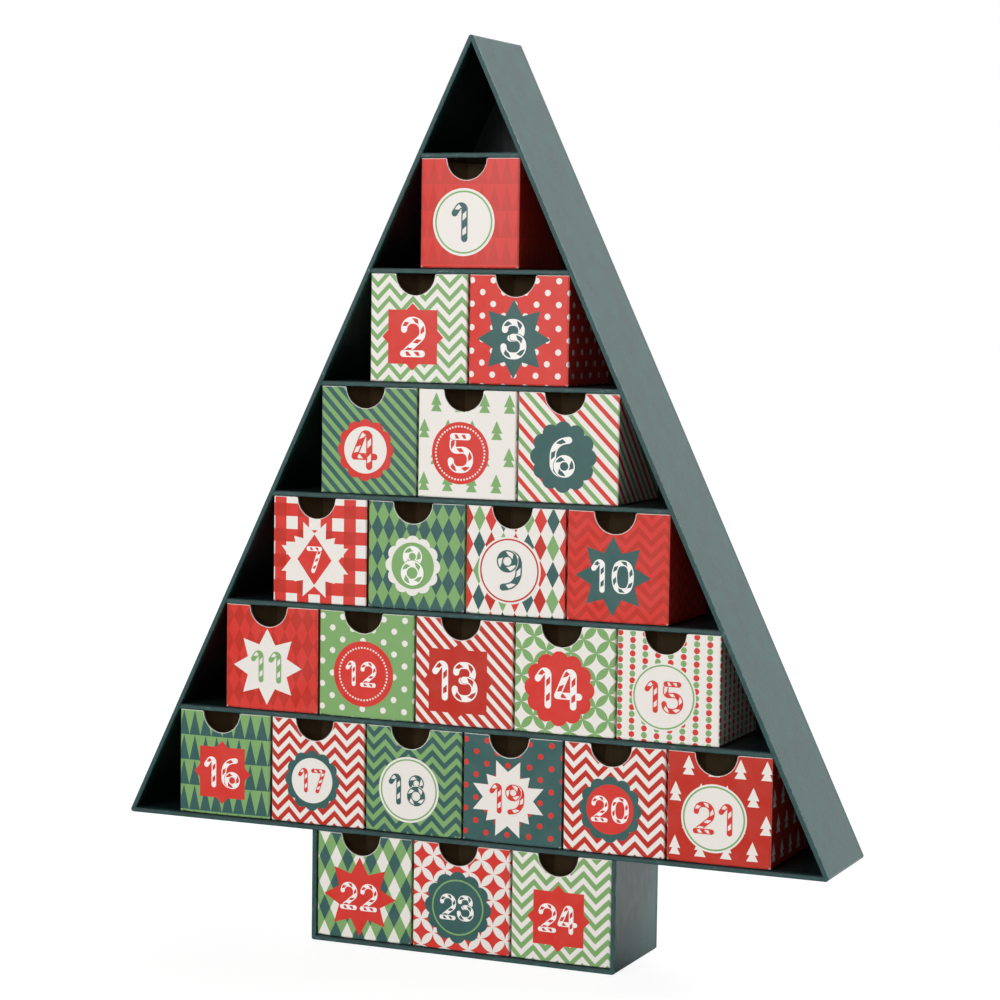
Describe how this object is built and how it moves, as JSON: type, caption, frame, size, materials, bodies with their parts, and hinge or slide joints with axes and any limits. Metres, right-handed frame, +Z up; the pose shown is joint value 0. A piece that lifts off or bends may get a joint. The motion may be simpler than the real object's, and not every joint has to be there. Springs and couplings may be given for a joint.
{
  "type": "advent calendar",
  "caption": "Tree-shaped advent calendar of wrapped board: a triangular case on a trunk, with shelves of numbered pull-out card drawers, each with a half-round finger notch.",
  "frame": {"origin": "middle of the underside of the trunk", "axes": "+Z up, -Y out of the front, towards which the drawers are pulled, +X to the viewer's right"},
  "size_m": [0.3596, 0.057, 0.4322],
  "materials": {
    "wrapped_board": "greyboard wrapped in matt dark green paper",
    "backing_board": "thin board covered in dark paper",
    "red_card": "printed, satin",
    "green_card": "printed, satin",
    "teal_card": "printed, satin",
    "cream_card": "printed, satin"
  },
  "bodies": {
    "case": {"left_side": "wrapped_board", "right_side": "wrapped_board", "base_board": "wrapped_board", "tree_back": "backing_board", "shelf_1": "wrapped_board", "shelf_2": "wrapped_board", "shelf_3": "wrapped_board", "shelf_4": "wrapped_board", "shelf_5": "wrapped_board", "shelf_6": "wrapped_board", "trunk_left": "wrapped_board", "trunk_right": "wrapped_board", "trunk_floor": "wrapped_board", "trunk_back": "backing_board"},
    "drawer_01": {"drawer_01": "red_card"},
    "drawer_02": {"drawer_02": "green_card"},
    "drawer_03": {"drawer_03": "red_card"},
    "drawer_04": {"drawer_04": "teal_card"},
    "drawer_05": {"drawer_05": "cream_card"},
    "drawer_06": {"drawer_06": "cream_card"},
    "drawer_07": {"drawer_07": "red_card"},
    "drawer_08": {"drawer_08": "teal_card"},
    "drawer_09": {"drawer_09": "cream_card"},
    "drawer_10": {"drawer_10": "red_card"},
    "drawer_11": {"drawer_11": "red_card"},
    "drawer_12": {"drawer_12": "green_card"},
    "drawer_13": {"drawer_13": "red_card"},
    "drawer_14": {"drawer_14": "green_card"},
    "drawer_15": {"drawer_15": "cream_card"},
    "drawer_16": {"drawer_16": "green_card"},
    "drawer_17": {"drawer_17": "red_card"},
    "drawer_18": {"drawer_18": "green_card"},
    "drawer_19": {"drawer_19": "teal_card"},
    "drawer_20": {"drawer_20": "red_card"},
    "drawer_21": {"drawer_21": "red_card"},
    "drawer_22": {"drawer_22": "green_card"},
    "drawer_23": {"drawer_23": "red_card"},
    "drawer_24": {"drawer_24": "green_card"}
  },
  "joints": [
    {"name": "drawer_01_slide", "type": "slide", "parent": "case", "child": "drawer_01", "axis": [0, -1, 0], "range_m": [0, 0.045]},
    {"name": "drawer_02_slide", "type": "slide", "parent": "case", "child": "drawer_02", "axis": [0, -1, 0], "range_m": [0, 0.045]},
    {"name": "drawer_03_slide", "type": "slide", "parent": "case", "child": "drawer_03", "axis": [0, -1, 0], "range_m": [0, 0.045]},
    {"name": "drawer_04_slide", "type": "slide", "parent": "case", "child": "drawer_04", "axis": [0, -1, 0], "range_m": [0, 0.045]},
    {"name": "drawer_05_slide", "type": "slide", "parent": "case", "child": "drawer_05", "axis": [0, -1, 0], "range_m": [0, 0.045]},
    {"name": "drawer_06_slide", "type": "slide", "parent": "case", "child": "drawer_06", "axis": [0, -1, 0], "range_m": [0, 0.045]},
    {"name": "drawer_07_slide", "type": "slide", "parent": "case", "child": "drawer_07", "axis": [0, -1, 0], "range_m": [0, 0.045]},
    {"name": "drawer_08_slide", "type": "slide", "parent": "case", "child": "drawer_08", "axis": [0, -1, 0], "range_m": [0, 0.045]},
    {"name": "drawer_09_slide", "type": "slide", "parent": "case", "child": "drawer_09", "axis": [0, -1, 0], "range_m": [0, 0.045]},
    {"name": "drawer_10_slide", "type": "slide", "parent": "case", "child": "drawer_10", "axis": [0, -1, 0], "range_m": [0, 0.045]},
    {"name": "drawer_11_slide", "type": "slide", "parent": "case", "child": "drawer_11", "axis": [0, -1, 0], "range_m": [0, 0.045]},
    {"name": "drawer_12_slide", "type": "slide", "parent": "case", "child": "drawer_12", "axis": [0, -1, 0], "range_m": [0, 0.045]},
    {"name": "drawer_13_slide", "type": "slide", "parent": "case", "child": "drawer_13", "axis": [0, -1, 0], "range_m": [0, 0.045]},
    {"name": "drawer_14_slide", "type": "slide", "parent": "case", "child": "drawer_14", "axis": [0, -1, 0], "range_m": [0, 0.045]},
    {"name": "drawer_15_slide", "type": "slide", "parent": "case", "child": "drawer_15", "axis": [0, -1, 0], "range_m": [0, 0.045]},
    {"name": "drawer_16_slide", "type": "slide", "parent": "case", "child": "drawer_16", "axis": [0, -1, 0], "range_m": [0, 0.045]},
    {"name": "drawer_17_slide", "type": "slide", "parent": "case", "child": "drawer_17", "axis": [0, -1, 0], "range_m": [0, 0.045]},
    {"name": "drawer_18_slide", "type": "slide", "parent": "case", "child": "drawer_18", "axis": [0, -1, 0], "range_m": [0, 0.045]},
    {"name": "drawer_19_slide", "type": "slide", "parent": "case", "child": "drawer_19", "axis": [0, -1, 0], "range_m": [0, 0.045]},
    {"name": "drawer_20_slide", "type": "slide", "parent": "case", "child": "drawer_20", "axis": [0, -1, 0], "range_m": [0, 0.045]},
    {"name": "drawer_21_slide", "type": "slide", "parent": "case", "child": "drawer_21", "axis": [0, -1, 0], "range_m": [0, 0.045]},
    {"name": "drawer_22_slide", "type": "slide", "parent": "case", "child": "drawer_22", "axis": [0, -1, 0], "range_m": [0, 0.045]},
    {"name": "drawer_23_slide", "type": "slide", "parent": "case", "child": "drawer_23", "axis": [0, -1, 0], "range_m": [0, 0.045]},
    {"name": "drawer_24_slide", "type": "slide", "parent": "case", "child": "drawer_24", "axis": [0, -1, 0], "range_m": [0, 0.045]}
  ]
}
